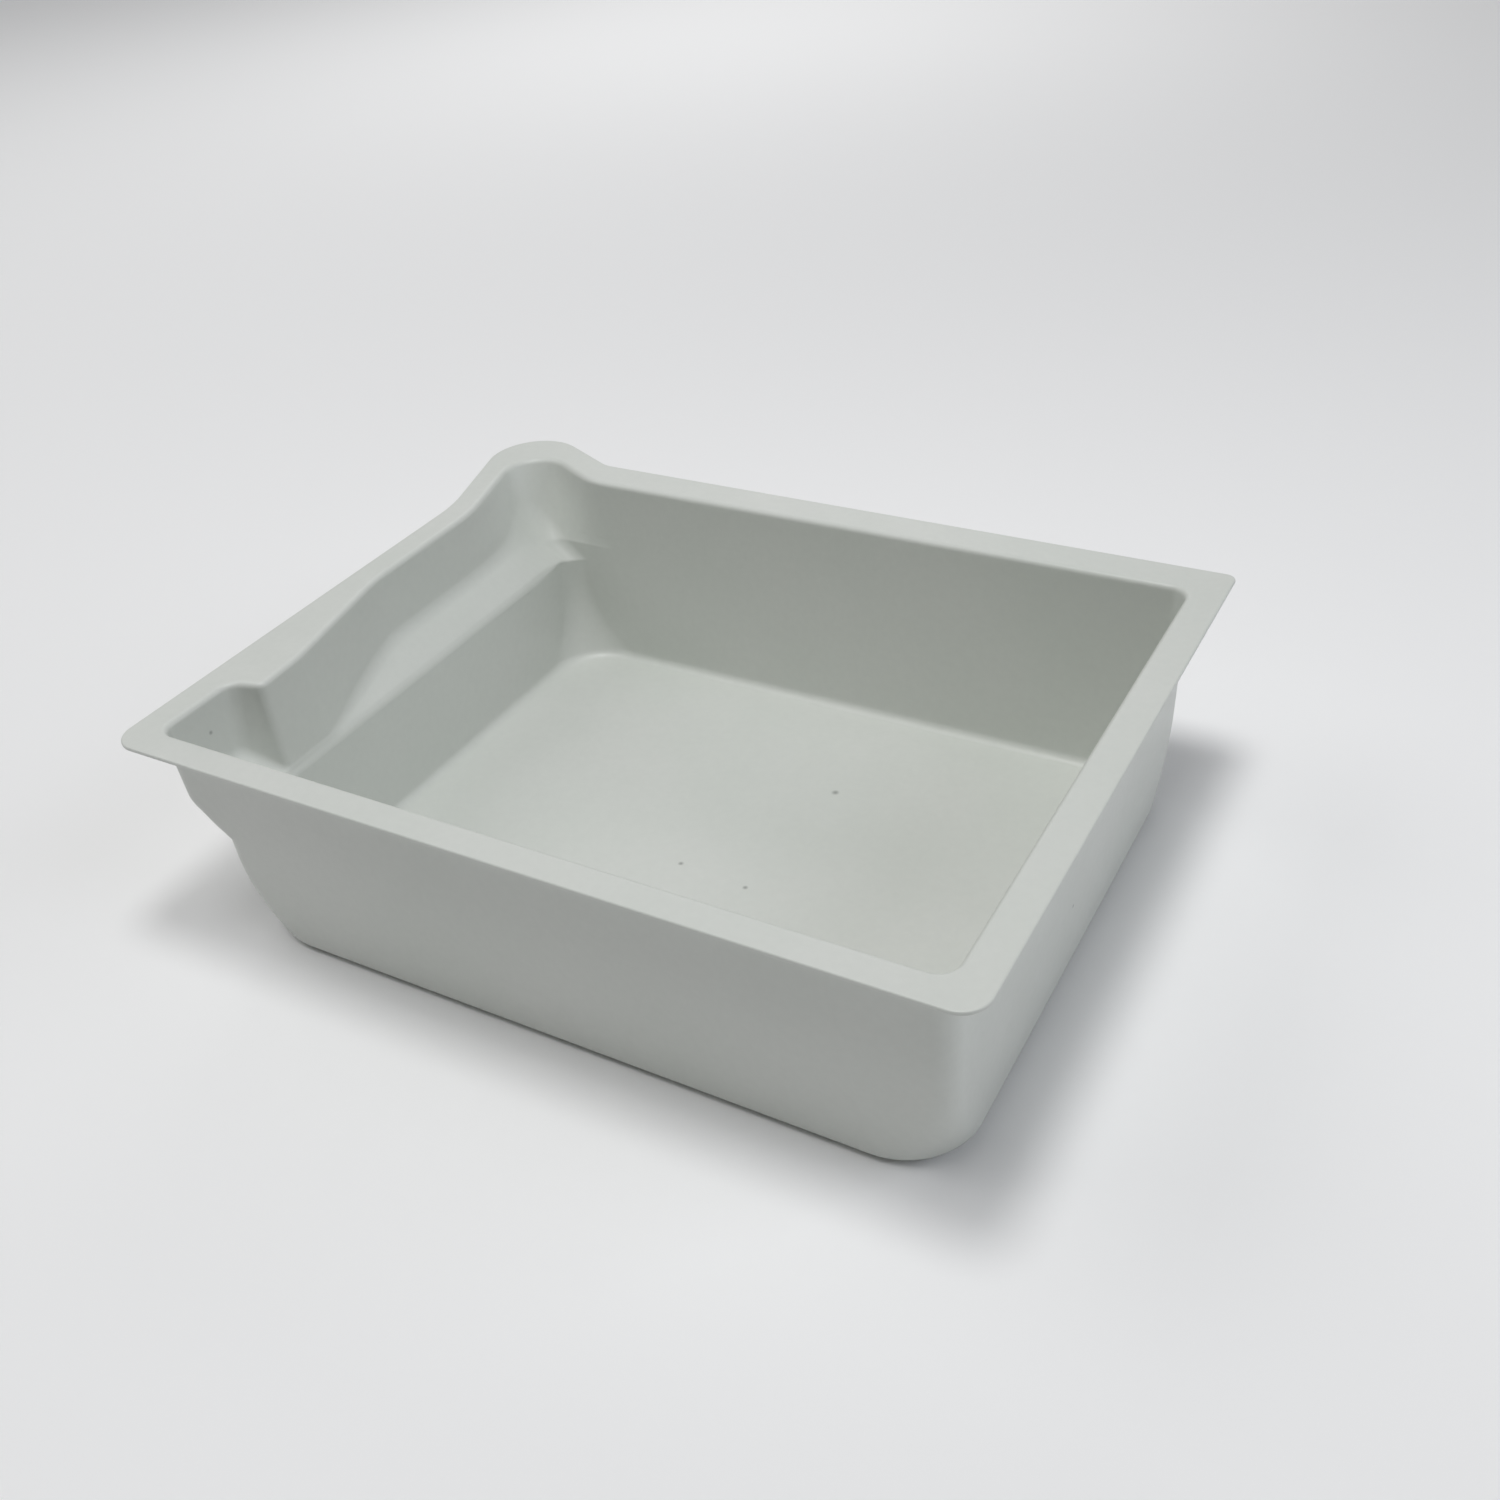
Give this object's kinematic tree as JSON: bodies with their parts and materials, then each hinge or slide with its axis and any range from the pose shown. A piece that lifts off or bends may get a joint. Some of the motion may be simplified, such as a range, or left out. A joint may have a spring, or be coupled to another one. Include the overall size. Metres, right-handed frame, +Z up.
{
  "type": "paint roller tray",
  "caption": "Deep plastic tray for paint and a roller, with a flat rim, a pouring spout in one back corner, and a shallow stepped end with a sloped shelf and a rounded nose.",
  "frame": {"origin": "centre of the bounding box in plan, at the level of the flat underside the tray stands on", "axes": "+X along the rim from the shallow stepped end to the deep end, +Y from the front wall to the back wall, the spout being at -X +Y, +Z up"},
  "size_m": [0.4172, 0.3298, 0.111],
  "materials": {
    "tray_plastic": "satin"
  },
  "bodies": {
    "root": {"tray": "tray_plastic"}
  },
  "joints": []
}
